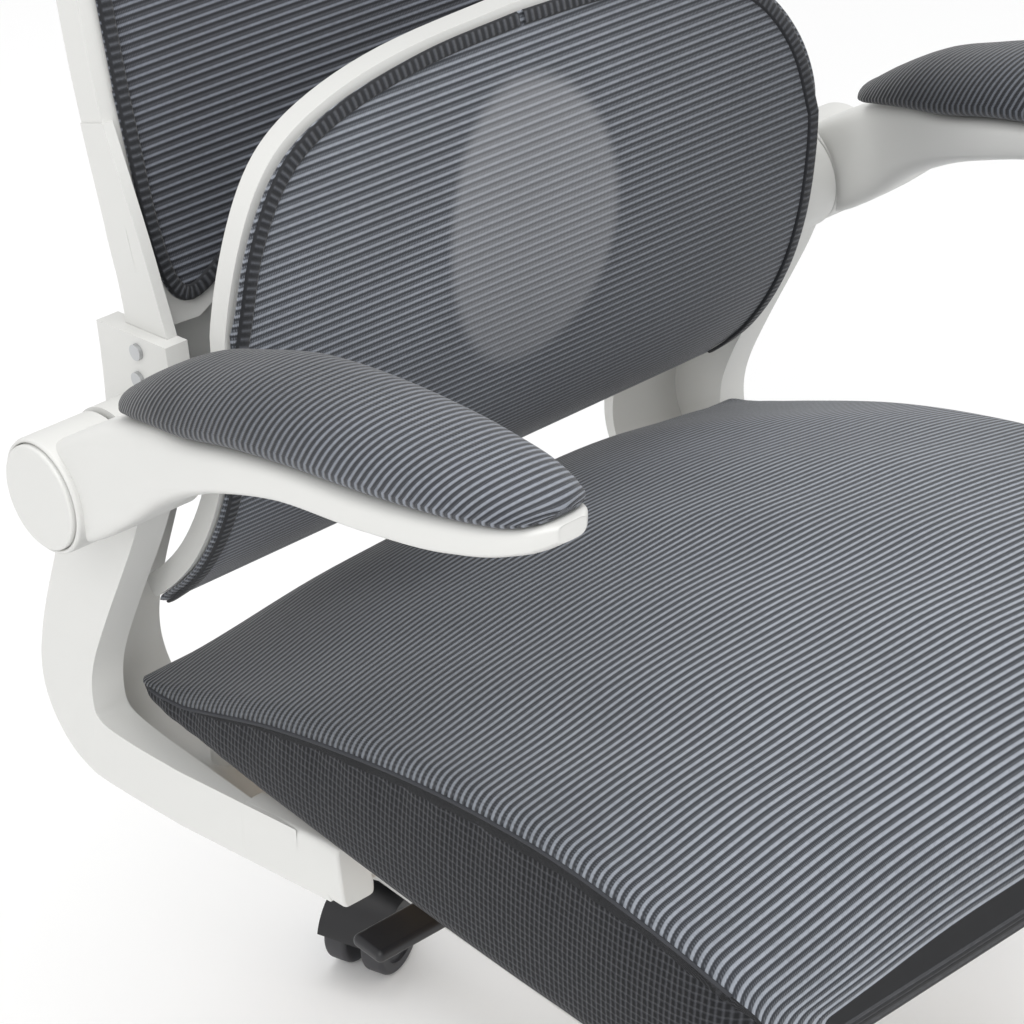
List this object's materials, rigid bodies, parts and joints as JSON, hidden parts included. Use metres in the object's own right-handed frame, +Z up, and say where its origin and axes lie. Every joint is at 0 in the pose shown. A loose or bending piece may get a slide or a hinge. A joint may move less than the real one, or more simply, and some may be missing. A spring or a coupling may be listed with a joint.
{
  "type": "gaming chair",
  "caption": "High-back gaming chair with mesh back, separate lumbar panel, domed mesh seat, flip-up padded armrests, tilt mechanism, gas lift and rolling star base.",
  "frame": {"origin": "on the floor under the gas column, where the base's centre meets the floor plane that the casters stand on", "axes": "+Z up, the sitter faces -Y, +X is to the sitter's left"},
  "size_m": [0.6798, 0.6592, 1.1644],
  "materials": {
    "back_fabric": "ribbed blue-grey open mesh",
    "black_metal": "black powder coat",
    "black_plastic": "fine satin black",
    "caster_tread": "hard dark grey nylon",
    "pad_fabric": "ribbed blue-grey mesh cloth over foam",
    "plywood": "birch plywood",
    "seat_fabric": "ribbed blue-grey mesh cloth over foam",
    "steel": "zinc-plated steel",
    "white_plastic": "satin moulded nylon, warm white"
  },
  "bodies": {
    "base": {"star_base": "white_plastic", "caster_stems": "steel", "column_tube": "black_metal", "column_bush": "black_plastic"},
    "caster_1": {"caster_1_hood": "black_plastic", "caster_1_axle": "steel"},
    "caster_1_wheel_a": {"caster_1_wheel_a": "caster_tread"},
    "caster_1_wheel_b": {"caster_1_wheel_b": "caster_tread"},
    "caster_2": {"caster_2_hood": "black_plastic", "caster_2_axle": "steel"},
    "caster_2_wheel_a": {"caster_2_wheel_a": "caster_tread"},
    "caster_2_wheel_b": {"caster_2_wheel_b": "caster_tread"},
    "caster_3": {"caster_3_hood": "black_plastic", "caster_3_axle": "steel"},
    "caster_3_wheel_a": {"caster_3_wheel_a": "caster_tread"},
    "caster_3_wheel_b": {"caster_3_wheel_b": "caster_tread"},
    "caster_4": {"caster_4_hood": "black_plastic", "caster_4_axle": "steel"},
    "caster_4_wheel_a": {"caster_4_wheel_a": "caster_tread"},
    "caster_4_wheel_b": {"caster_4_wheel_b": "caster_tread"},
    "caster_5": {"caster_5_hood": "black_plastic", "caster_5_axle": "steel"},
    "caster_5_wheel_a": {"caster_5_wheel_a": "caster_tread"},
    "caster_5_wheel_b": {"caster_5_wheel_b": "caster_tread"},
    "spindle": {"piston_rod": "steel", "thrust_bearing": "steel", "retaining_clip": "steel"},
    "lift": {"gas_cylinder": "black_metal", "tilt_housing": "black_metal", "tilt_spring": "steel"},
    "valve_button": {"valve_button": "steel"},
    "lever_rocker": {"lever_yoke": "black_plastic"},
    "lever": {"height_lever": "black_plastic"},
    "tension_knob": {"tension_knob": "black_plastic"},
    "seat": {"seat_plate": "black_metal", "tilt_pin": "steel", "seat_board": "plywood", "seat_bolts": "steel", "seat_cushion": "seat_fabric", "bracket_right": "white_plastic", "bracket_left": "white_plastic", "bracket_bolts": "steel", "arm_pivots": "steel", "cross_member": "white_plastic", "back_frame": "white_plastic", "back_screws": "steel", "back_mesh": "back_fabric", "lumbar_guide": "white_plastic"},
    "lumbar": {"lumbar_frame": "white_plastic", "lumbar_mesh": "back_fabric", "lumbar_pad": "white_plastic"},
    "headrest_post": {"headrest_stem": "white_plastic"},
    "headrest": {"headrest_frame": "white_plastic", "headrest_mesh": "back_fabric"},
    "arm_right": {"arm_right": "white_plastic", "arm_pad_right": "pad_fabric", "hub_cap_right": "white_plastic"},
    "arm_left": {"arm_left": "white_plastic", "arm_pad_left": "pad_fabric", "hub_cap_left": "white_plastic"}
  },
  "joints": [
    {"name": "caster_1_swivel", "type": "hinge", "parent": "base", "child": "caster_1", "pos_m": [0, 0.3, 0.05], "axis": [0, 0, 1], "continuous": true},
    {"name": "caster_1_roll_a", "type": "hinge", "parent": "caster_1", "child": "caster_1_wheel_a", "pos_m": [-0.01973, 0.29282, 0.0275], "axis": [-0.342, 0.9397, 0], "continuous": true},
    {"name": "caster_1_roll_b", "type": "hinge", "parent": "caster_1", "child": "caster_1_wheel_b", "pos_m": [-0.01973, 0.29282, 0.0275], "axis": [-0.342, 0.9397, 0], "continuous": true},
    {"name": "caster_2_swivel", "type": "hinge", "parent": "base", "child": "caster_2", "pos_m": [-0.28532, 0.0927, 0.05], "axis": [0, 0, 1], "continuous": true},
    {"name": "caster_2_roll_a", "type": "hinge", "parent": "caster_2", "child": "caster_2_wheel_a", "pos_m": [-0.30479, 0.08484, 0.0275], "axis": [-0.3746, 0.9272, 0], "continuous": true},
    {"name": "caster_2_roll_b", "type": "hinge", "parent": "caster_2", "child": "caster_2_wheel_b", "pos_m": [-0.30479, 0.08484, 0.0275], "axis": [-0.3746, 0.9272, 0], "continuous": true},
    {"name": "caster_3_swivel", "type": "hinge", "parent": "base", "child": "caster_3", "pos_m": [-0.17634, -0.24271, 0.05], "axis": [0, 0, 1], "continuous": true},
    {"name": "caster_3_roll_a", "type": "hinge", "parent": "caster_3", "child": "caster_3_wheel_a", "pos_m": [-0.16002, -0.22949, 0.0275], "axis": [0.6293, -0.7771, 0], "continuous": true},
    {"name": "caster_3_roll_b", "type": "hinge", "parent": "caster_3", "child": "caster_3_wheel_b", "pos_m": [-0.16002, -0.22949, 0.0275], "axis": [0.6293, -0.7771, 0], "continuous": true},
    {"name": "caster_4_swivel", "type": "hinge", "parent": "base", "child": "caster_4", "pos_m": [0.17634, -0.24271, 0.05], "axis": [0, 0, 1], "continuous": true},
    {"name": "caster_4_roll_a", "type": "hinge", "parent": "caster_4", "child": "caster_4_wheel_a", "pos_m": [0.15539, -0.24124, 0.0275], "axis": [0.0698, 0.9976, 0], "continuous": true},
    {"name": "caster_4_roll_b", "type": "hinge", "parent": "caster_4", "child": "caster_4_wheel_b", "pos_m": [0.15539, -0.24124, 0.0275], "axis": [0.0698, 0.9976, 0], "continuous": true},
    {"name": "caster_5_swivel", "type": "hinge", "parent": "base", "child": "caster_5", "pos_m": [0.28532, 0.0927, 0.05], "axis": [0, 0, 1], "continuous": true},
    {"name": "caster_5_roll_a", "type": "hinge", "parent": "caster_5", "child": "caster_5_wheel_a", "pos_m": [0.3063, 0.09197, 0.0275], "axis": [-0.0349, -0.9994, 0], "continuous": true},
    {"name": "caster_5_roll_b", "type": "hinge", "parent": "caster_5", "child": "caster_5_wheel_b", "pos_m": [0.3063, 0.09197, 0.0275], "axis": [-0.0349, -0.9994, 0], "continuous": true},
    {"name": "seat_swivel", "type": "hinge", "parent": "base", "child": "spindle", "pos_m": [0, 0, 0.07], "axis": [0, 0, 1], "continuous": true},
    {"name": "seat_height", "type": "slide", "parent": "spindle", "child": "lift", "axis": [0, 0, 1], "range_m": [0, 0.1]},
    {"name": "lever_lift", "type": "hinge", "parent": "lift", "child": "lever_rocker", "pos_m": [-0.045, 0, 0.318], "axis": [0, 1, 0], "range_deg": [0, 4]},
    {"name": "lever_pull", "type": "slide", "parent": "lever_rocker", "child": "lever", "axis": [-1, 0, 0], "range_m": [0, 0.018]},
    {"name": "valve_press", "type": "slide", "parent": "lift", "child": "valve_button", "axis": [0, 0, -1], "range_m": [0, 0.0034]},
    {"name": "tension_turn", "type": "hinge", "parent": "lift", "child": "tension_knob", "pos_m": [0, -0.074, 0.275], "axis": [0, 0, 1], "range_deg": [0, 1800]},
    {"name": "seat_tilt", "type": "hinge", "parent": "lift", "child": "seat", "pos_m": [0, -0.03, 0.33], "axis": [-1, 0, 0], "range_deg": [0, 15], "stiffness_Nm_per_rad": 160, "springref_deg": -17.19},
    {"name": "lumbar_height", "type": "slide", "parent": "seat", "child": "lumbar", "axis": [0, 0, 1], "range_m": [0, 0.04]},
    {"name": "headrest_height", "type": "slide", "parent": "seat", "child": "headrest_post", "axis": [0, 0.2823, 0.9593], "range_m": [0, 0.05]},
    {"name": "headrest_tilt", "type": "hinge", "parent": "headrest_post", "child": "headrest", "pos_m": [0, 0.37635, 1.09447], "axis": [1, 0, 0], "range_deg": [-20, 25]},
    {"name": "arm_right_flip", "type": "hinge", "parent": "seat", "child": "arm_right", "pos_m": [-0.28, 0.202, 0.528], "axis": [-1, 0, 0], "range_deg": [0, 90]},
    {"name": "arm_left_flip", "type": "hinge", "parent": "seat", "child": "arm_left", "pos_m": [0.28, 0.202, 0.528], "axis": [-1, 0, 0], "range_deg": [0, 90]}
  ],
  "couplings": [
    {"joint": "valve_press", "follows": "lever_lift", "m_per_rad": 0.0455}
  ]
}
